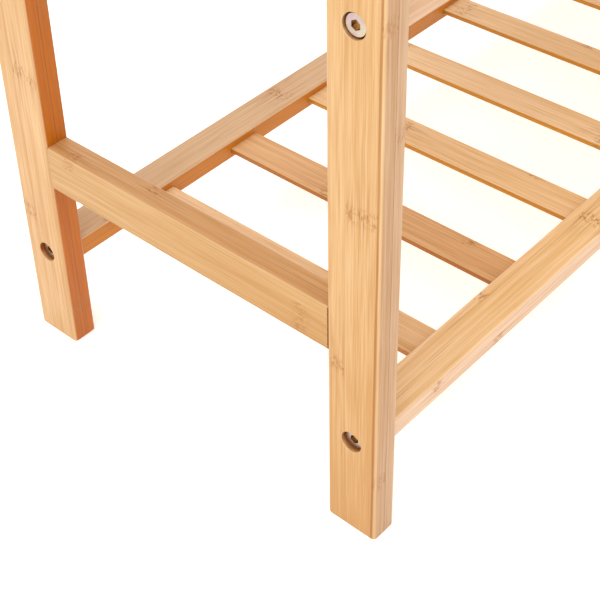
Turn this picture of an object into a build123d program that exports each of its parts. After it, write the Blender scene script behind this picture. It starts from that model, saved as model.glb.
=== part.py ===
"""Bamboo entryway bench: two end frames, two ladder shelves and a slatted seat, bolted together.

Millimetres, +Z up. X runs along the bench, Y from front to back, and the origin is on the floor
under the middle of the bench. Each physical piece is one solid in its own STEP file. Identical
bolts, nuts and dowels share a file as a group of separate solids.
"""
from build123d import *
import os

# Overall size
LENGTH = 830.0
DEPTH = 285.0
HEIGHT = 450.0

# End frames: four legs, two stretchers and two top crosspieces
LEG_WIDTH = 34.0
LEG_THICKNESS = 17.5
LEG_EDGE_RADIUS = 2.5
LEG_FOOT_RADIUS = 1.5
CROSS_HEIGHT = 30.0
CROSS_THICKNESS = 16.8
CROSS_SETBACK = 0.4
CROSS_EDGE_RADIUS = 1.8
STRETCHER_BOTTOM = 127.0

# Long rails, which butt against the inner faces of the legs
RAIL_WIDTH = 26.5
RAIL_SETBACK = 5.5
RAIL_EDGE_RADIUS = 1.8
SHELF_RAIL_HEIGHT = 14.0
SEAT_RAIL_HEIGHT = 35.0
LOWER_RAIL_BOTTOM = 62.0
UPPER_RAIL_BOTTOM = 320.5

# Shelf slats, let into mortises in the inner faces of the shelf rails
SHELF_SLAT_COUNT = 9
SHELF_SLAT_WIDTH = 26.0
SHELF_SLAT_THICKNESS = 4.4
SHELF_SLAT_DROP = 5.3
SHELF_SLAT_END_GAP = 74.0

# Seat slats, let into the seat rails in the same way
SEAT_SLAT_COUNT = 15
SEAT_SLAT_WIDTH = 40.0
SEAT_SLAT_THICKNESS = 10.0
SEAT_SLAT_DROP = 2.5

SLAT_EDGE_RADIUS = 1.2
TENON_LENGTH = 8.0
MORTISE_CLEARANCE = 0.1

# How far a cutting tool runs out past the face it starts from
CUT_OVERRUN = 1.0

# Connector bolts: M6, flat round head with a hexagon socket, sunk into the leg's outer face
BOLT_INSET = 17.5
BOLT_SHANK_RADIUS = 2.95
BOLT_LENGTH = 45.0
BOLT_HEAD_RADIUS = 6.1
BOLT_HEAD_THICKNESS = 3.0
BOLT_HEAD_EDGE_RADIUS = 0.6
SOCKET_ACROSS_FLATS = 5.0
SOCKET_DEPTH = 2.4
COUNTERBORE_RADIUS = 6.7
BOLT_HOLE_RADIUS = 3.4
BOLT_HOLE_OVERRUN = 3.0
COUNTERBORE_CHAMFER = 0.4
LOWER_HEAD_DEPTH = 3.2
UPPER_HEAD_DEPTH = 1.5

# Barrel nuts, in blind holes bored up from the underside of each rail
NUT_DISTANCE = 25.0
NUT_RADIUS = 5.0
NUT_LENGTH = 11.0
NUT_THREAD_RADIUS = 3.0
NUT_HOLE_RADIUS = 5.1
NUT_SLOT_WIDTH = 1.2
NUT_SLOT_DEPTH = 1.0

# Dowels: glued pairs in the end frames, and one beside each bolt to stop the rail turning
FRAME_DOWEL_RADIUS = 3.0
FRAME_DOWEL_LENGTH = 30.0
STRETCHER_DOWEL_RISES = (8.0, 22.5)
CROSSPIECE_DOWEL_RISES = (14.0, 25.0)
RAIL_DOWEL_RADIUS = 2.5
RAIL_DOWEL_DEPTH_IN_LEG = 8.0
RAIL_DOWEL_DEPTH_IN_RAIL = 17.0
RAIL_DOWEL_INSET = 27.5
DOWEL_HOLE_CLEARANCE = 0.05
DOWEL_CHAMFER = 0.6

# Positions worked out from the sizes above
LEG_INNER_X = LENGTH / 2 - LEG_THICKNESS
LEG_INNER_Y = DEPTH / 2 - LEG_WIDTH
RAIL_OUTER_Y = DEPTH / 2 - RAIL_SETBACK
RAIL_INNER_Y = RAIL_OUTER_Y - RAIL_WIDTH
SEAT_RAIL_BOTTOM = HEIGHT - SEAT_RAIL_HEIGHT
CROSSPIECE_BOTTOM = HEIGHT - CROSS_HEIGHT
CROSS_X = LENGTH / 2 - CROSS_SETBACK - CROSS_THICKNESS / 2
BOLT_Y = DEPTH / 2 - BOLT_INSET
RAIL_DOWEL_Y = DEPTH / 2 - RAIL_DOWEL_INSET
SHELF_BOLT_RISE = SHELF_RAIL_HEIGHT / 2
SEAT_BOLT_RISE = 7.0

SIDES = {"left": -1, "right": 1}
FACES = {"front": -1, "back": 1}

LOWER_BOLT_Z = LOWER_RAIL_BOTTOM + SHELF_BOLT_RISE
UPPER_BOLT_Z = UPPER_RAIL_BOTTOM + SHELF_BOLT_RISE
SEAT_BOLT_Z = SEAT_RAIL_BOTTOM + SEAT_BOLT_RISE

# Each tier: rail bottom, rail height, height of the bolt's axis and depth of its head
TIERS = {
    "lower": (LOWER_RAIL_BOTTOM, SHELF_RAIL_HEIGHT, LOWER_BOLT_Z, LOWER_HEAD_DEPTH),
    "upper": (UPPER_RAIL_BOTTOM, SHELF_RAIL_HEIGHT, UPPER_BOLT_Z, UPPER_HEAD_DEPTH),
    "seat": (SEAT_RAIL_BOTTOM, SEAT_RAIL_HEIGHT, SEAT_BOLT_Z, UPPER_HEAD_DEPTH),
}


def block(low, high):
    """A box between two corners."""
    size = [b - a for a, b in zip(low, high)]
    middle = [(a + b) / 2 for a, b in zip(low, high)]
    return Pos(*middle) * Box(*size)


def bar(low, high, axis, radius):
    """A straight bar with its four long edges rounded."""
    solid = block(low, high)
    return fillet(solid.edges().filter_by(axis), radius)


def rod_x(start, end, y, z, radius):
    """A round rod or bore along X, from start to end."""
    turned = Rot(0, 90, 0) * Cylinder(radius, abs(end - start))
    return Pos((start + end) / 2, y, z) * turned


def rod_y(start, end, x, z, radius):
    """A round rod or bore along Y, from start to end."""
    turned = Rot(90, 0, 0) * Cylinder(radius, abs(end - start))
    return Pos(x, (start + end) / 2, z) * turned


def rod_z(start, end, x, y, radius):
    """A round rod or bore along Z, from start to end."""
    return Pos(x, y, (start + end) / 2) * Cylinder(radius, abs(end - start))


def slat_xs(count, width, first_edge, last_edge):
    """Middle positions of evenly spaced slats between two outer edges."""
    first = first_edge + width / 2
    last = last_edge - width / 2
    return [first + (last - first) * i / (count - 1) for i in range(count)]


def shelf_slat_xs():
    edge = LENGTH / 2 - SHELF_SLAT_END_GAP
    return slat_xs(SHELF_SLAT_COUNT, SHELF_SLAT_WIDTH, -edge, edge)


def seat_slat_xs():
    free = 2 * LEG_INNER_X - SEAT_SLAT_COUNT * SEAT_SLAT_WIDTH
    gap = free / (SEAT_SLAT_COUNT + 1)
    edge = LEG_INNER_X - gap
    return slat_xs(SEAT_SLAT_COUNT, SEAT_SLAT_WIDTH, -edge, edge)


def dowel_heights(bottom, rises):
    """Heights of the two dowels of a crossbar."""
    return [bottom + rise for rise in rises]


def crossbars():
    """Bottom height and dowel heights of the two crossbars of an end frame."""
    return {
        "end_stretcher": (STRETCHER_BOTTOM, dowel_heights(STRETCHER_BOTTOM, STRETCHER_DOWEL_RISES)),
        "top_crosspiece": (CROSSPIECE_BOTTOM, dowel_heights(CROSSPIECE_BOTTOM, CROSSPIECE_DOWEL_RISES)),
    }


def counterbore(side, y, z, depth):
    """The tool that sinks a flat-bottomed recess into a leg's outer face, with a chamfered mouth."""
    outer = side * LENGTH / 2
    recess = rod_x(outer + side * CUT_OVERRUN, outer - side * depth, y, z, COUNTERBORE_RADIUS)
    mouth = Cone(COUNTERBORE_RADIUS, COUNTERBORE_RADIUS + COUNTERBORE_CHAMFER, COUNTERBORE_CHAMFER)
    middle_x = outer - side * COUNTERBORE_CHAMFER / 2
    return recess + Pos(middle_x, y, z) * Rot(0, side * 90, 0) * mouth


def leg(side, face):
    """One leg, with counterbored bolt holes, blind dowel holes and softened edges."""
    outer_x, inner_x = side * LENGTH / 2, side * LEG_INNER_X
    outer_y, inner_y = face * DEPTH / 2, face * LEG_INNER_Y
    low = (min(outer_x, inner_x), min(outer_y, inner_y), 0)
    high = (max(outer_x, inner_x), max(outer_y, inner_y), HEIGHT)
    solid = bar(low, high, Axis.Z, LEG_EDGE_RADIUS)
    ends = solid.faces().filter_by(Axis.Z).edges()
    solid = fillet(ends, LEG_FOOT_RADIUS)
    past_inner = inner_x - side * CUT_OVERRUN
    for _, _, bolt_z, head_depth in TIERS.values():
        bolt_y, dowel_y = face * BOLT_Y, face * RAIL_DOWEL_Y
        solid -= counterbore(side, bolt_y, bolt_z, head_depth + BOLT_HEAD_THICKNESS)
        solid -= rod_x(outer_x, past_inner, bolt_y, bolt_z, BOLT_HOLE_RADIUS)
        blind = inner_x + side * RAIL_DOWEL_DEPTH_IN_LEG
        solid -= rod_x(blind, past_inner, dowel_y, bolt_z, RAIL_DOWEL_RADIUS + DOWEL_HOLE_CLEARANCE)
    past_inner = inner_y - face * CUT_OVERRUN
    for _, heights in crossbars().values():
        for z in heights:
            blind = inner_y + face * FRAME_DOWEL_LENGTH / 2
            radius = FRAME_DOWEL_RADIUS + DOWEL_HOLE_CLEARANCE
            solid -= rod_y(blind, past_inner, side * CROSS_X, z, radius)
    return solid


def crossbar(side, bottom, heights):
    """A bar between the two legs of an end frame, doweled at both ends."""
    x = side * CROSS_X
    low = (x - CROSS_THICKNESS / 2, -LEG_INNER_Y, bottom)
    high = (x + CROSS_THICKNESS / 2, LEG_INNER_Y, bottom + CROSS_HEIGHT)
    solid = bar(low, high, Axis.Y, CROSS_EDGE_RADIUS)
    radius = FRAME_DOWEL_RADIUS + DOWEL_HOLE_CLEARANCE
    for face in FACES.values():
        for z in heights:
            blind = face * (LEG_INNER_Y - FRAME_DOWEL_LENGTH / 2)
            solid -= rod_y(blind, face * (LEG_INNER_Y + CUT_OVERRUN), x, z, radius)
    return solid


def slat_span(tier):
    """Bottom, top, middles and width of a tier's slats."""
    rail_bottom, rail_height, _, _ = TIERS[tier]
    rail_top = rail_bottom + rail_height
    if tier == "seat":
        top = rail_top - SEAT_SLAT_DROP
        return top - SEAT_SLAT_THICKNESS, top, seat_slat_xs(), SEAT_SLAT_WIDTH
    top = rail_top - SHELF_SLAT_DROP
    return top - SHELF_SLAT_THICKNESS, top, shelf_slat_xs(), SHELF_SLAT_WIDTH


def rail(tier, face):
    """A long rail with its slat mortises, bolt bores, barrel nut holes and dowel holes."""
    bottom, height, bolt_z, head_depth = TIERS[tier]
    near_y, far_y = sorted((face * RAIL_OUTER_Y, face * RAIL_INNER_Y))
    low = (-LEG_INNER_X, near_y, bottom)
    high = (LEG_INNER_X, far_y, bottom + height)
    solid = bar(low, high, Axis.X, RAIL_EDGE_RADIUS)
    slat_bottom, slat_top, middles, width = slat_span(tier)
    mouth = face * (RAIL_INNER_Y - CUT_OVERRUN)
    floor = face * (RAIL_INNER_Y + TENON_LENGTH)
    half = width / 2 + MORTISE_CLEARANCE
    for x in middles:
        low = (x - half, min(mouth, floor), slat_bottom - MORTISE_CLEARANCE)
        high = (x + half, max(mouth, floor), slat_top + MORTISE_CLEARANCE)
        solid -= block(low, high)
    bolt_y, dowel_y = face * BOLT_Y, face * RAIL_DOWEL_Y
    for side in SIDES.values():
        end = side * (LEG_INNER_X + CUT_OVERRUN)
        bolt_tip = LENGTH / 2 - head_depth - BOLT_HEAD_THICKNESS - BOLT_LENGTH
        solid -= rod_x(end, side * (bolt_tip - BOLT_HOLE_OVERRUN), bolt_y, bolt_z, BOLT_HOLE_RADIUS)
        nut_x = side * (LEG_INNER_X - NUT_DISTANCE)
        nut_top = bolt_z + NUT_LENGTH / 2
        solid -= rod_z(bottom - CUT_OVERRUN, nut_top, nut_x, bolt_y, NUT_HOLE_RADIUS)
        blind = side * (LEG_INNER_X - RAIL_DOWEL_DEPTH_IN_RAIL)
        solid -= rod_x(end, blind, dowel_y, bolt_z, RAIL_DOWEL_RADIUS + DOWEL_HOLE_CLEARANCE)
    return solid


def slat(x, bottom, top, width):
    """A slat that runs from front to back and enters a mortise at each end."""
    reach = RAIL_INNER_Y + TENON_LENGTH
    low = (x - width / 2, -reach, bottom)
    high = (x + width / 2, reach, top)
    return bar(low, high, Axis.Y, SLAT_EDGE_RADIUS)


def connector_bolt(side, face, bolt_z, head_depth):
    """A flat-headed bolt that points into the bench, head outermost."""
    outer = side * (LENGTH / 2 - head_depth)
    under = outer - side * BOLT_HEAD_THICKNESS
    head = rod_x(outer, under, 0, 0, BOLT_HEAD_RADIUS)
    rim = head.edges().filter_by(GeomType.CIRCLE).sort_by(Axis.X)
    rim = rim[-1] if side > 0 else rim[0]
    solid = fillet(rim, BOLT_HEAD_EDGE_RADIUS)
    solid += rod_x(under, under - side * BOLT_LENGTH, 0, 0, BOLT_SHANK_RADIUS)
    hexagon = RegularPolygon(SOCKET_ACROSS_FLATS / 2, 6, major_radius=False)
    socket = extrude(hexagon, SOCKET_DEPTH, both=True)
    solid -= Pos(outer, 0, 0) * Rot(0, 90, 0) * socket
    return Pos(0, face * BOLT_Y, bolt_z) * solid


def barrel_nut(side, face, bolt_z):
    """A cross-bored barrel nut with a screwdriver slot in its lower end."""
    x, y = side * (LEG_INNER_X - NUT_DISTANCE), face * BOLT_Y
    bottom = bolt_z - NUT_LENGTH / 2
    solid = rod_z(bottom, bottom + NUT_LENGTH, x, y, NUT_RADIUS)
    solid -= rod_x(x - 2 * NUT_RADIUS, x + 2 * NUT_RADIUS, y, bolt_z, NUT_THREAD_RADIUS)
    half = NUT_SLOT_WIDTH / 2
    low = (x - 2 * NUT_RADIUS, y - half, bottom - CUT_OVERRUN)
    high = (x + 2 * NUT_RADIUS, y + half, bottom + NUT_SLOT_DEPTH)
    solid -= block(low, high)
    return solid


def dowel(rod):
    """A round pin with a small chamfer at each end."""
    return chamfer(rod.edges().filter_by(GeomType.CIRCLE), DOWEL_CHAMFER)


def frame_dowels():
    """The glued dowels of both end frames."""
    half = FRAME_DOWEL_LENGTH / 2
    pins = []
    for side in SIDES.values():
        for face in FACES.values():
            for _, heights in crossbars().values():
                for z in heights:
                    y = face * LEG_INNER_Y
                    pins.append(dowel(rod_y(y - half, y + half, side * CROSS_X, z, FRAME_DOWEL_RADIUS)))
    return pins


def rail_dowels():
    """The locating dowels beside the bolts."""
    pins = []
    for side in SIDES.values():
        for face in FACES.values():
            for _, _, bolt_z, _ in TIERS.values():
                start = side * (LEG_INNER_X + RAIL_DOWEL_DEPTH_IN_LEG)
                end = side * (LEG_INNER_X - RAIL_DOWEL_DEPTH_IN_RAIL)
                pins.append(dowel(rod_x(start, end, face * RAIL_DOWEL_Y, bolt_z, RAIL_DOWEL_RADIUS)))
    return pins


def build():
    """Every node's name and shape."""
    nodes = {}
    for face_name, face in FACES.items():
        for side_name, side in SIDES.items():
            nodes[f"{face_name}_{side_name}_leg"] = leg(side, face)
    for side_name, side in SIDES.items():
        for bar_name, (bottom, heights) in crossbars().items():
            nodes[f"{side_name}_{bar_name}"] = crossbar(side, bottom, heights)
    for tier in TIERS:
        for face_name, face in FACES.items():
            nodes[f"{tier}_{face_name}_rail"] = rail(tier, face)
        bottom, top, middles, width = slat_span(tier)
        for number, x in enumerate(middles, 1):
            nodes[f"{tier}_slat_{number:02d}"] = slat(x, bottom, top, width)
    bolts, nuts = [], []
    for side in SIDES.values():
        for face in FACES.values():
            for _, _, bolt_z, head_depth in TIERS.values():
                bolts.append(connector_bolt(side, face, bolt_z, head_depth))
                nuts.append(barrel_nut(side, face, bolt_z))
    nodes["connector_bolts"] = Compound(children=bolts)
    nodes["barrel_nuts"] = Compound(children=nuts)
    nodes["frame_dowels"] = Compound(children=frame_dowels())
    nodes["rail_dowels"] = Compound(children=rail_dowels())
    return nodes


os.makedirs("parts", exist_ok=True)
for name, shape in build().items():
    shape.label = name
    export_step(shape, f"parts/{name}.step")
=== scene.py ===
"""Bamboo entryway bench: materials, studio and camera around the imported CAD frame.

Metres, in the frame's own axes: X runs along the bench, Y from front to back, Z is up, and the
origin is on the floor under the middle of the bench.
"""

import math
import random

import bpy
from mathutils import Matrix, Vector


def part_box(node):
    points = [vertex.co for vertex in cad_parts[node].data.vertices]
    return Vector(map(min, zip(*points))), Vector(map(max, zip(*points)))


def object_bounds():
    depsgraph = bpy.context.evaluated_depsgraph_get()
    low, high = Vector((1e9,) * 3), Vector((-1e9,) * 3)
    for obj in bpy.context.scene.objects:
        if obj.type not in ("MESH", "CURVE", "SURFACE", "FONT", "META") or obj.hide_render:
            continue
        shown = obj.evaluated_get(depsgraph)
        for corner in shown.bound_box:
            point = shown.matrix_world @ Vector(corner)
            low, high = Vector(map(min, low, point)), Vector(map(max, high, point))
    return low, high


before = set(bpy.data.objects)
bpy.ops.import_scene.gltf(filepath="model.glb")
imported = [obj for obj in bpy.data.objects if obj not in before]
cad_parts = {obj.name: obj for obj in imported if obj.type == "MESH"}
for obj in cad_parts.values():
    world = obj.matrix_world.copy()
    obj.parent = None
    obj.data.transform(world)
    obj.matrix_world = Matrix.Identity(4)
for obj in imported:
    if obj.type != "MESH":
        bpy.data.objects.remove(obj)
cad_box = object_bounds()

SEED = 11

# Camera: its place from the near foot's outer corner, its aim, lens and frame shift
CAMERA_FROM_FOOT = Vector((-0.4052, -0.3124, 0.6365))
CAMERA_HEADING = math.radians(46.22)
CAMERA_PITCH = math.radians(37.46)
CAMERA_ROLL = math.radians(-2.43)
CAMERA_LENS = 84.45
CAMERA_SENSOR = 36.0
CAMERA_SHIFT = (0.0633, -0.1617)

# Studio: a white floor that glows a little, white surroundings and three soft lights
FLOOR_SIZE = 14.0
FLOOR_COLOUR = (0.96, 0.96, 0.96, 1.0)
FLOOR_GLOW = 0.25
FLOOR_ROUGHNESS = 0.9
FLOOR_SPECULAR = 0.1
SKY_COLOUR = (1.0, 1.0, 1.0, 1.0)
SKY_STRENGTH = 1.05
LIGHTS = {
    "key": {"place": (-2.4, -0.6, 2.3), "size": 2.2, "power": 42.0},
    "front_fill": {"place": (0.6, -2.6, 1.5), "size": 2.4, "power": 10.0},
    "top": {"place": (0.3, 0.4, 3.2), "size": 2.6, "power": 34.0},
}

# Bamboo at real scale: strips glued side by side, each a length of cane with its own knuckles.
# The steps are the shares of the knuckle spacing between one strip or ply and the next.
STRIP_WIDTH = 0.020
STRIP_WANDER = 0.0016
KNUCKLE_SPACING = 0.285
KNUCKLE_BEND = 0.012
STRIP_STEP = 0.37
PLY_STEP = 0.21
PALE_SEAM = 0.75
SEED_STEP = (3.1, 7.7, 5.3)

# Features per metre along the grain, across it and through the wide faces
WANDER_SCALE = (7.0, 35.0, 35.0)
BEND_SCALE = (110.0, 1.0, 1.0)
PORE_SCALE = 900.0

# Layers of noise: features per metre as above, how finely they break up, and the limits of the
# noise between which the layer rises from 0 to 1
LAYERS = {
    "fibres": {"scale": (24.0, 950.0, 950.0), "detail": 3.0, "limits": (0.30, 0.70)},
    "bands": {"scale": (2.0, 320.0, 320.0), "detail": 2.0, "limits": (0.30, 0.70)},
    "drift": {"scale": (6.0, 24.0, 24.0), "detail": 1.0, "limits": (0.30, 0.70)},
    "lines": {"scale": (16.0, 1500.0, 1500.0), "detail": 2.0, "limits": (0.58, 0.70)},
    "flecks": {"scale": (360.0, 900.0, 900.0), "detail": 2.0, "limits": (0.46, 0.62)},
    "streaks": {"scale": (30.0, 620.0, 620.0), "detail": 2.0, "limits": (0.48, 0.70)},
}

# Each layer's share in the tone that runs from a palette's paler colour to its deeper one
MIDDLE_TONE = 0.42
TONE_SWINGS = {"bands": 0.36, "fibres": 0.46, "strip": 0.36, "drift": 0.28}

# Shares of the colours laid over the figure where they show in full: darker marks, a painted
# highlight along rounded edges, and painted shade in bores
LINE_SHARE = 0.38
FLECK_SHARE = 0.66
STREAK_SHARE = 0.42
GLUE_SHARE = 0.85
EDGE_HIGHLIGHT_SHARE = 0.35
END_SHARE = 0.85
BORE_SHADE_SHARE = 0.90

# How squarely a surface looks along an axis, from not at all to fully counted
WIDE_FACING = (0.55, 0.85)
NARROW_FACING = (0.60, 0.90)
END_FACING = (0.60, 0.85)
EDGE_FACING = (0.78, 0.97)

# Distances over which a mark fades, and the depth over which the painted shade in a bore deepens
SEAM_FADE = (0.0003, 0.0010)
PLY_FADE = (0.0001, 0.0004)
CORE_FADE = (0.0015, 0.0075)
HALO_FADE = (0.004, 0.034)
BORE_SHADE_FADE = (0.0005, 0.0030)
PORE_FADE = (0.15, 0.45)

# Finish of the bamboo, and the relief of its grain and glue lines
BAMBOO_ROUGHNESS = 0.40
FIBRE_ROUGHNESS = 0.10
KNUCKLE_ROUGHNESS = 0.08
END_ROUGHNESS = 0.25
BAMBOO_SPECULAR = 0.30
COAT_WEIGHT = 0.12
COAT_ROUGHNESS = 0.22
GRAIN_RELIEF = 0.00003
GLUE_GROOVE = 0.00010

# Colours, linear. A palette is the paler and the deeper tone that a piece's figure runs between.
HONEY = ((0.590, 0.370, 0.170, 1.0), (0.455, 0.220, 0.056, 1.0))
AMBER = ((0.515, 0.302, 0.115, 1.0), (0.400, 0.186, 0.039, 1.0))
BLOND = ((0.790, 0.550, 0.325, 1.0), (0.630, 0.365, 0.138, 1.0))
RUSSET = ((0.540, 0.255, 0.075, 1.0), (0.360, 0.120, 0.020, 1.0))
DUSKY = ((0.575, 0.375, 0.215, 1.0), (0.450, 0.262, 0.118, 1.0))
KNUCKLE_BROWN = (0.33, 0.130, 0.028, 1.0)
# Painted shade deep in bores and mortises
BORE_SHADE = (0.27, 0.075, 0.004, 1.0)
# A painted highlight along rounded edges
EDGE_HIGHLIGHT = (0.68, 0.47, 0.27, 1.0)
END_GRAIN = (0.48, 0.26, 0.10, 1.0)
END_PORE = (0.20, 0.085, 0.03, 1.0)

# Tints that multiply the colour under them: of glue lines, and of the narrow faces, where they are
# painted light and shade: painted shade on the sides, deeper painted shade on the faces turned to
# the inside of the bench and on the slats' sides, and painted light on the crosspieces' narrow faces
GLUE_TINT = (0.62, 0.42, 0.16, 1.0)
SIDE_SHADE = (0.79, 0.76, 0.86, 1.0)
SIDE_LIGHT = (1.04, 1.00, 1.16, 1.0)
RAIL_INWARD_SHADE = (0.86, 0.45, 0.05, 1.0)
LEG_INWARD_SHADE = (0.72, 0.31, 0.002, 1.0)
SLAT_FLANK_SHADE = (0.63, 0.37, 0.006, 1.0)

# Yellow zinc: its colours, with the gold of the walls darkened as painted shade in the hex socket,
# the size of its patches and the marks that turning leaves
ZINC_PINK = (0.42, 0.30, 0.31, 1.0)
ZINC_PALE = (0.48, 0.40, 0.31, 1.0)
ZINC_SHADED_GOLD = (0.30, 0.15, 0.03, 1.0)
ZINC_GREEN = (0.42, 0.46, 0.16, 1.0)
ZINC_FACING = (0.70, 0.95)
FILM = {"scale": (160.0, 160.0, 160.0), "detail": 1.0, "limits": (0.35, 0.65)}
PATCHES = {"scale": (420.0, 420.0, 420.0), "detail": 2.0, "limits": (0.48, 0.66)}
SCRATCH_SCALE = (900.0, 2600.0, 700.0)
SCRATCH_DETAIL = 3.0
SCRATCH_RELIEF = 0.00001
SCRATCH_ROUGHNESS = 0.22
ZINC_ROUGHNESS = 0.30
BOLT_GREEN = 0.40
NUT_GREEN = 0.15

# Each kind of timber: the axis its grain runs along, the axis its wide faces look along, whether
# it is glued from two plies, how clearly its seams show, its palette, and the painted light and
# shade of its narrow faces, outward and inward
AXES = "xyz"
TIMBER = ("grain", "face", "plies", "seams", "palette", "painted_sides")
LEG = dict(zip(TIMBER, ("z", "x", 1.0, 0.4, HONEY, (SIDE_SHADE, LEG_INWARD_SHADE))))
CROSSPIECE = dict(zip(TIMBER, ("y", "x", 1.0, 0.3, AMBER, (SIDE_LIGHT, SIDE_LIGHT))))
SHELF_RAIL = dict(zip(TIMBER, ("x", "z", 1.0, 0.2, BLOND, (SIDE_SHADE, RAIL_INWARD_SHADE))))
SEAT_RAIL = dict(zip(TIMBER, ("x", "y", 1.0, 0.5, HONEY, (SIDE_SHADE, SIDE_SHADE))))
SHELF_SLAT = dict(zip(TIMBER, ("y", "z", 0.0, 0.1, BLOND, (SLAT_FLANK_SHADE, SLAT_FLANK_SHADE))))
SEAT_SLAT = dict(zip(TIMBER, ("y", "z", 0.0, 0.3, HONEY, (SIDE_SHADE, SIDE_SHADE))))
FRAME_DOWEL = dict(zip(TIMBER, ("y", "x", 0.0, 0.0, BLOND, (SIDE_SHADE, SIDE_SHADE))))
RAIL_DOWEL = dict(zip(TIMBER, ("x", "z", 0.0, 0.0, BLOND, (SIDE_SHADE, SIDE_SHADE))))

# What a node's name says about its kind: the first entry whose words are all in the name counts
KINDS = (
    (("leg",), LEG),
    (("seat", "rail"), SEAT_RAIL),
    (("seat", "slat"), SEAT_SLAT),
    (("rail", "dowels"), RAIL_DOWEL),
    (("dowels",), FRAME_DOWEL),
    (("rail",), SHELF_RAIL),
    (("slat",), SHELF_SLAT),
    (("stretcher",), CROSSPIECE),
    (("crosspiece",), CROSSPIECE),
)

# Single pieces that differ from their kind: the palette, how far it goes towards russet, how much
# painted shade deepens the wide faces' tone at the low end, how clearly the seams show, where a
# knuckle lies along the piece, and where a seam lies across it
PALETTES = {"lower_back_rail": DUSKY}
REDNESS = {
    "lower_front_rail": -0.05,
    "lower_back_rail": 0.0,
    "lower_slat_02": 0.58,
    "lower_slat_03": 0.0,
    "lower_slat_04": 0.0,
    "lower_slat_05": 0.0,
}
LOW_END_SHADES = {"front_left_leg": 0.70}
SEAMS = {"front_left_leg": 1.0, "back_left_leg": 0.9}
KNUCKLE_PLACES = {
    "front_left_leg": 0.226,
    "back_left_leg": 0.204,
    "left_end_stretcher": -0.090,
    "lower_front_rail": -0.220,
    "lower_back_rail": -0.238,
    "lower_slat_03": -0.070,
}
STRIP_EDGES = {"front_left_leg": -0.0148, "back_left_leg": -0.0165, "left_end_stretcher": -0.013}

# Ranges of the random draws: the redness of every other piece, the part of a strip's width that a
# seam lies in, and the seed of a piece's figure
REDNESS_RANGE = (-0.10, 0.25)
EDGE_RANGE = (0.2, 0.8)
SEED_RANGE = (0.0, 9.0)


class Graph:
    """Short forms for building a node tree. A value is a number, a colour or an output socket."""

    def __init__(self, tree):
        self.tree = tree

    def feed(self, socket, value):
        if isinstance(value, bpy.types.NodeSocket):
            self.tree.links.new(value, socket)
        else:
            socket.default_value = value

    def node(self, kind, values=(), **settings):
        made = self.tree.nodes.new(kind)
        for name, value in settings.items():
            setattr(made, name, value)
        for key, value in dict(values).items():
            self.feed(made.inputs[key], value)
        return made

    def math(self, operation, *values):
        return self.node("ShaderNodeMath", enumerate(values), operation=operation).outputs[0]

    def folded(self, operation, *values):
        """One operation over any number of values, from the first to the last."""
        result = values[0]
        for value in values[1:]:
            result = self.math(operation, result, value)
        return result

    def total(self, *terms):
        return self.folded("ADD", *terms)

    def product(self, *factors):
        return self.folded("MULTIPLY", *factors)

    def ramp(self, value, low, high):
        """0 below low, 1 above high, and smooth between."""
        values = {"Value": value, "From Min": low, "From Max": high}
        kind = "ShaderNodeMapRange"
        return self.node(kind, values, interpolation_type="SMOOTHSTEP").outputs["Result"]

    def below(self, value, low, high):
        """1 below low, 0 above high, and smooth between."""
        return self.math("SUBTRACT", 1.0, self.ramp(value, low, high))

    def swing(self, value, amount):
        """A value from 0 to 1, turned into one from -amount / 2 to amount / 2."""
        return self.math("MULTIPLY_ADD", value, amount, -amount / 2)

    def split(self, vector):
        return self.node("ShaderNodeSeparateXYZ", {0: vector}).outputs

    def join(self, x, y, z):
        return self.node("ShaderNodeCombineXYZ", {0: x, 1: y, 2: z}).outputs[0]

    def vector(self, operation, *values):
        return self.node("ShaderNodeVectorMath", enumerate(values), operation=operation).outputs[0]

    def noise(self, place, scale, detail=2.0):
        """Noise from 0 to 1, with its own number of features per metre along each axis."""
        scaled = self.vector("MULTIPLY", place, scale)
        values = {"Vector": scaled, "Scale": 1.0, "Detail": detail}
        return self.node("ShaderNodeTexNoise", values).outputs["Fac"]

    def layer(self, place, scale, detail, limits):
        """Noise that rises from 0 to 1 between its limits."""
        return self.ramp(self.noise(place, scale, detail), *limits)

    def random(self, place):
        return self.node("ShaderNodeTexWhiteNoise", {"Vector": place}).outputs["Value"]

    def mix(self, share, first, second, blend="MIX"):
        made = self.node("ShaderNodeMix", data_type="RGBA", blend_type=blend)
        factor, colour_a, colour_b = made.inputs[0], made.inputs[6], made.inputs[7]
        self.feed(factor, share)
        self.feed(colour_a, first)
        self.feed(colour_b, second)
        return made.outputs[2]

    def bump(self, height):
        """The normal of a surface with this relief, in metres."""
        values = {"Height": height, "Strength": 1.0, "Distance": 1.0}
        return self.node("ShaderNodeBump", values).outputs["Normal"]


def group_with(name, inputs, outputs):
    """An empty node group with these sockets, its graph, its input sockets and its output sockets."""
    tree = bpy.data.node_groups.new(name, "ShaderNodeTree")
    for direction, sockets in (("INPUT", inputs), ("OUTPUT", outputs)):
        for label, kind in sockets.items():
            tree.interface.new_socket(label, in_out=direction, socket_type="NodeSocket" + kind)
    graph = Graph(tree)
    given = graph.node("NodeGroupInput").outputs
    wanted = graph.node("NodeGroupOutput").inputs
    return tree, graph, given, wanted


def face_masks(graph, given):
    """How far a surface is a wide face, a narrow one, an inward narrow one, a cut end, an edge."""
    facing = graph.split(given["Facing"])
    turned = [graph.math("ABSOLUTE", part) for part in facing]
    inward_turn = graph.product(facing[1], given["Inward"])
    return {
        "wide": graph.ramp(turned[2], *WIDE_FACING),
        "narrow": graph.ramp(turned[1], *NARROW_FACING),
        "inner": graph.ramp(inward_turn, *NARROW_FACING),
        "end": graph.ramp(turned[0], *END_FACING),
        "edge": graph.below(graph.folded("MAXIMUM", *turned), *EDGE_FACING),
    }


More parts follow.
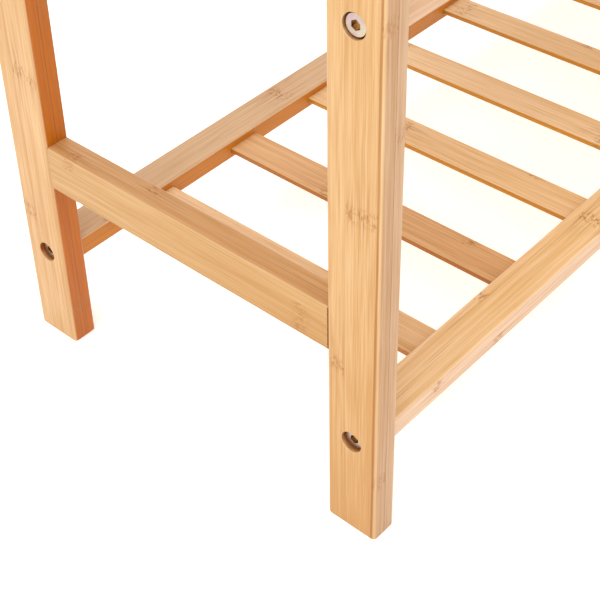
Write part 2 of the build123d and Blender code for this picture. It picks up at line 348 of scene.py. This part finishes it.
def bore_shade_mask(graph, given):
    """Painted shade, rising with the depth under the piece's own box, so only in bores and mortises.
    """
    from_middle = graph.vector("ABSOLUTE", given["Place"])
    depths = graph.split(graph.vector("SUBTRACT", given["Half Size"], from_middle))
    return graph.ramp(graph.folded("MINIMUM", *depths), *BORE_SHADE_FADE)


def strips_across(graph, given, across, fibre_place):
    """The place across the piece counted in strips, whose edges wander a little."""
    noise = graph.noise(fibre_place, WANDER_SCALE, 1.0)
    wandering = graph.total(across, graph.swing(noise, STRIP_WANDER))
    from_edge = graph.math("SUBTRACT", wandering, given["Strip Edge"])
    return graph.math("DIVIDE", from_edge, STRIP_WIDTH)


def glue_lines(graph, given, strips, through, faces):
    """The seams between strips, every other one of them faint, and the line between two plies."""
    inside = graph.math("FRACT", strips)
    nearest = graph.math("MINIMUM", inside, graph.math("SUBTRACT", 1.0, inside))
    odd = graph.math("PINGPONG", graph.math("ROUND", strips), 1.0)
    showing = graph.math("MULTIPLY_ADD", odd, -PALE_SEAM, 1.0)
    to_seam = graph.product(nearest, STRIP_WIDTH)
    seam = graph.product(graph.below(to_seam, *SEAM_FADE), faces["wide"], showing)
    to_ply = graph.math("ABSOLUTE", through)
    ply_line = graph.product(graph.below(to_ply, *PLY_FADE), faces["narrow"], given["Plies"])
    return graph.product(graph.total(seam, ply_line), given["Seams"])


def knuckle_marks(graph, given, along_and_across, fibre_place, strip, ply):
    """Flecks and streaks where each strip of cane had a joint, out of step from strip to strip."""
    grain, across = along_and_across
    from_mark = graph.math("SUBTRACT", grain, given["Knuckle"])
    phase = graph.total(
        graph.math("DIVIDE", from_mark, KNUCKLE_SPACING),
        graph.product(strip, STRIP_STEP),
        graph.product(ply, PLY_STEP),
        0.5,
    )
    cycle = graph.math("FRACT", phase)
    straight = graph.math("MULTIPLY_ADD", cycle, KNUCKLE_SPACING, -KNUCKLE_SPACING / 2)
    bend = graph.swing(graph.noise(graph.join(across, given["Seed"], 0.0), BEND_SCALE), KNUCKLE_BEND)
    distance = graph.math("ABSOLUTE", graph.total(straight, bend))
    core = graph.below(distance, *CORE_FADE)
    halo = graph.below(distance, *HALO_FADE)
    flecks = graph.product(core, graph.layer(fibre_place, **LAYERS["flecks"]), FLECK_SHARE)
    streaks = graph.product(halo, graph.layer(fibre_place, **LAYERS["streaks"]), STREAK_SHARE)
    return core, graph.total(flecks, streaks)


def bamboo_figure():
    """Fibres, strips, glue lines, knuckles and cut ends of laminated bamboo, with painted light and
    shade: a highlight on rounded edges, shade deep in bores, shade towards the low end of one leg,
    shade on most narrow faces and light on the crosspieces' narrow faces.

    Place, Facing and Half Size are in the piece's own order: along the grain, across it, through
    the wide faces.
    """
    inputs = {
        "Place": "Vector",
        "Facing": "Vector",
        "Seed": "Float",
        "Strip Edge": "Float",
        "Knuckle": "Float",
        "Plies": "Float",
        "Seams": "Float",
        "Low End Shade": "Float",
        "Pale": "Color",
        "Deep": "Color",
        "Side": "Color",
        "Inward Shade": "Color",
        "Inward": "Float",
        "Half Size": "Vector",
    }
    outputs = {"Color": "Color", "Roughness": "Float", "Height": "Float"}
    tree, graph, given, wanted = group_with("bamboo_figure", inputs, outputs)
    grain, across, through = graph.split(given["Place"])
    seeds = graph.join(given["Seed"], given["Seed"], given["Seed"])
    fibre_place = graph.vector("ADD", given["Place"], graph.vector("MULTIPLY", seeds, SEED_STEP))

    faces = face_masks(graph, given)
    strips = strips_across(graph, given, across, fibre_place)
    strip = graph.math("FLOOR", strips)
    ply = graph.product(graph.math("GREATER_THAN", through, 0.0), given["Plies"])
    layers = {
        "bands": graph.layer(fibre_place, **LAYERS["bands"]),
        "fibres": graph.layer(fibre_place, **LAYERS["fibres"]),
        "strip": graph.random(graph.join(strip, ply, given["Seed"])),
        "drift": graph.layer(fibre_place, **LAYERS["drift"]),
    }
    lines = graph.layer(fibre_place, **LAYERS["lines"])
    core, marks = knuckle_marks(graph, given, (grain, across), fibre_place, strip, ply)
    glue = glue_lines(graph, given, strips, through, faces)

    swings = [graph.swing(layers[name], amount) for name, amount in TONE_SWINGS.items()]
    half_length = graph.split(given["Half Size"])[0]
    # Painted shade deepening the wide faces towards the low end
    low_end = graph.below(grain, graph.product(half_length, -1.0), 0.0)
    deeper = graph.product(low_end, faces["wide"], given["Low End Shade"])
    tone = graph.total(MIDDLE_TONE, *swings, deeper)
    colour = graph.mix(tone, given["Pale"], given["Deep"])
    # Narrow faces: painted shade, deeper on the faces turned to the inside of the bench, and painted
    # light on the crosspieces' top and bottom
    tint = graph.mix(faces["inner"], given["Side"], given["Inward Shade"])
    colour = graph.mix(faces["narrow"], colour, graph.mix(1.0, colour, tint, "MULTIPLY"))
    colour = graph.mix(graph.total(graph.product(lines, LINE_SHARE), marks), colour, KNUCKLE_BROWN)
    glued = graph.mix(1.0, colour, GLUE_TINT, "MULTIPLY")
    colour = graph.mix(graph.product(glue, GLUE_SHARE), colour, glued)
    # Painted highlight along rounded edges
    colour = graph.mix(graph.product(faces["edge"], EDGE_HIGHLIGHT_SHARE), colour, EDGE_HIGHLIGHT)
    pores = graph.node("ShaderNodeTexVoronoi", {"Vector": fibre_place, "Scale": PORE_SCALE})
    ends = graph.mix(graph.below(pores.outputs["Distance"], *PORE_FADE), END_GRAIN, END_PORE)
    colour = graph.mix(graph.product(faces["end"], END_SHARE), colour, ends)
    # Painted shade deep in bores and mortises
    colour = graph.mix(graph.product(bore_shade_mask(graph, given), BORE_SHADE_SHARE), colour, BORE_SHADE)

    roughness = graph.total(
        BAMBOO_ROUGHNESS,
        graph.swing(layers["fibres"], FIBRE_ROUGHNESS),
        graph.product(core, KNUCKLE_ROUGHNESS),
        graph.product(faces["end"], END_ROUGHNESS),
    )
    relief = graph.total(layers["fibres"], graph.product(lines, -1.0), core)
    height = graph.total(graph.product(relief, GRAIN_RELIEF), graph.product(glue, -GLUE_GROOVE))
    graph.feed(wanted["Color"], colour)
    graph.feed(wanted["Roughness"], roughness)
    graph.feed(wanted["Height"], height)
    return tree


def new_material(name):
    """A material with a Principled shader, its graph and that shader's sockets."""
    material = bpy.data.materials.new(name)
    material.use_nodes = True
    graph = Graph(material.node_tree)
    shader = material.node_tree.nodes["Principled BSDF"].inputs
    return material, graph, shader


def blended(first, second, share):
    """A colour between two others, or past the first when the share is negative."""
    return tuple(a + (b - a) * share for a, b in zip(first, second))


def across_axis(kind):
    """The axis that is neither the grain's nor the wide faces'."""
    return (set(AXES) - {kind["grain"], kind["face"]}).pop()


def in_grain_order(graph, vector, kind):
    """A vector's parts reordered: along the grain, across it, through the wide faces."""
    parts = dict(zip(AXES, graph.split(vector)))
    return graph.join(parts[kind["grain"]], parts[across_axis(kind)], parts[kind["face"]])


def inward(middle, kind):
    """The way along the across axis that leads to the inside of the bench: 1, -1 or 0."""
    if across_axis(kind) != "y":
        return 0.0
    return -math.copysign(1.0, middle.y)


def timber_kind(node):
    """The kind of timber that a node's name stands for."""
    return next(kind for words, kind in KINDS if all(word in node for word in words))


def bamboo(node, figure, draw):
    """One piece's own bamboo: the shared figure, placed along the piece and toned for it."""
    kind = timber_kind(node)
    low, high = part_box(node)
    middle = (low + high) / 2
    redness = draw.uniform(*REDNESS_RANGE)
    knuckle = draw.uniform(-KNUCKLE_SPACING, KNUCKLE_SPACING) / 2
    seed = draw.uniform(*SEED_RANGE)
    strip_edge = draw.uniform(*EDGE_RANGE) * STRIP_WIDTH
    if node in KNUCKLE_PLACES:
        knuckle = KNUCKLE_PLACES[node] - middle[AXES.index(kind["grain"])]
    palette = PALETTES.get(node, kind["palette"])
    share = REDNESS.get(node, redness)
    pale, deep = (blended(*pair, share) for pair in zip(palette, RUSSET))
    # The narrow faces' painted light and shade, outward and inward
    side, inner_side = kind["painted_sides"]

    material, graph, shader = new_material(f"bamboo_{node}")
    coordinates = graph.node("ShaderNodeTexCoord").outputs["Object"]
    placed = graph.vector("SUBTRACT", coordinates, middle)
    normal = graph.node("ShaderNodeNewGeometry").outputs["Normal"]
    values = {
        "Place": in_grain_order(graph, placed, kind),
        "Facing": in_grain_order(graph, normal, kind),
        "Seed": seed,
        "Strip Edge": STRIP_EDGES.get(node, strip_edge),
        "Knuckle": knuckle,
        "Plies": kind["plies"],
        "Seams": SEAMS.get(node, kind["seams"]),
        "Low End Shade": LOW_END_SHADES.get(node, 0.0),
        "Pale": pale,
        "Deep": deep,
        "Side": side,
        "Inward Shade": inner_side,
        "Inward": inward(middle, kind),
        "Half Size": in_grain_order(graph, (high - low) / 2, kind),
    }
    made = graph.node("ShaderNodeGroup", node_tree=figure)
    for name, value in values.items():
        graph.feed(made.inputs[name], value)
    graph.feed(shader["Base Color"], made.outputs["Color"])
    graph.feed(shader["Roughness"], made.outputs["Roughness"])
    graph.feed(shader["Normal"], graph.bump(made.outputs["Height"]))
    shader["Specular IOR Level"].default_value = BAMBOO_SPECULAR
    shader["Coat Weight"].default_value = COAT_WEIGHT
    shader["Coat Roughness"].default_value = COAT_ROUGHNESS
    return material


def yellow_zinc(name, greenness):
    """Yellow-passivated zinc: pink-gold faces, brown-gold walls darkened as painted shade, green
    patches and turning marks.
    """
    material, graph, shader = new_material(name)
    place = graph.node("ShaderNodeTexCoord").outputs["Object"]
    normal = graph.split(graph.node("ShaderNodeNewGeometry").outputs["Normal"])
    faced = graph.ramp(graph.math("ABSOLUTE", normal[0]), *ZINC_FACING)
    face = graph.mix(graph.layer(place, **FILM), ZINC_PINK, ZINC_PALE)
    patches = graph.product(graph.layer(place, **PATCHES), greenness)
    # Walls: the zinc's gold, darkened as painted shade in the hex socket
    colour = graph.mix(patches, graph.mix(faced, ZINC_SHADED_GOLD, face), ZINC_GREEN)
    scratches = graph.noise(place, SCRATCH_SCALE, SCRATCH_DETAIL)
    roughness = graph.total(ZINC_ROUGHNESS, graph.swing(scratches, SCRATCH_ROUGHNESS))
    graph.feed(shader["Base Color"], colour)
    graph.feed(shader["Roughness"], roughness)
    graph.feed(shader["Normal"], graph.bump(graph.product(scratches, SCRATCH_RELIEF)))
    shader["Metallic"].default_value = 1.0
    return material


def dress_all():
    """Puts each node's own material on all its faces, drawn in a fixed order."""
    draw = random.Random(SEED)
    figure = bamboo_figure()
    hardware = {
        "connector_bolts": yellow_zinc("zinc_bolts", BOLT_GREEN),
        "barrel_nuts": yellow_zinc("zinc_nuts", NUT_GREEN),
    }
    for node in sorted(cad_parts):
        material = hardware.get(node) or bamboo(node, figure, draw)
        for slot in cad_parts[node].material_slots:
            slot.material = material


def floor():
    """A plain white floor that glows a little, like a lit product table."""
    half = FLOOR_SIZE / 2
    corners = [(-half, -half, 0), (half, -half, 0), (half, half, 0), (-half, half, 0)]
    mesh = bpy.data.meshes.new("floor")
    mesh.from_pydata(corners, [], [(0, 1, 2, 3)])
    made = bpy.data.objects.new("floor", mesh)
    bpy.context.scene.collection.objects.link(made)
    material, _, shader = new_material("floor_white")
    shader["Base Color"].default_value = FLOOR_COLOUR
    shader["Roughness"].default_value = FLOOR_ROUGHNESS
    shader["Specular IOR Level"].default_value = FLOOR_SPECULAR
    shader["Emission Strength"].default_value = FLOOR_GLOW
    mesh.materials.append(material)


def area_light(name, place, size, power):
    """A square softbox that looks at the middle of the bench."""
    light = bpy.data.lights.new(name, "AREA")
    light.size = size
    light.energy = power
    made = bpy.data.objects.new(name, light)
    made.location = place
    aim = (cad_box[0] + cad_box[1]) / 2 - made.location
    made.rotation_euler = aim.to_track_quat("-Z", "Y").to_euler()
    bpy.context.scene.collection.objects.link(made)


def studio():
    """Floor, white surroundings and soft lights."""
    floor()
    for name, settings in LIGHTS.items():
        area_light(name, **settings)
    world = bpy.data.worlds.new("studio")
    world.use_nodes = True
    background = world.node_tree.nodes["Background"].inputs
    background["Color"].default_value = SKY_COLOUR
    background["Strength"].default_value = SKY_STRENGTH
    bpy.context.scene.world = world
    bpy.context.scene.view_settings.view_transform = "Standard"


def camera():
    """The camera, set from the near foot's outer corner."""
    lens = bpy.data.cameras.new("camera")
    lens.sensor_width = CAMERA_SENSOR
    lens.lens = CAMERA_LENS
    lens.shift_x, lens.shift_y = CAMERA_SHIFT
    made = bpy.data.objects.new("camera", lens)
    heading = Matrix.Rotation(-CAMERA_HEADING, 4, "Z")
    pitch = Matrix.Rotation(math.pi / 2 - CAMERA_PITCH, 4, "X")
    roll = Matrix.Rotation(CAMERA_ROLL, 4, "Z")
    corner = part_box("front_left_leg")[0]
    made.matrix_world = Matrix.Translation(corner + CAMERA_FROM_FOOT) @ heading @ pitch @ roll
    bpy.context.scene.collection.objects.link(made)
    bpy.context.scene.camera = made


camera()
studio()
dress_all()
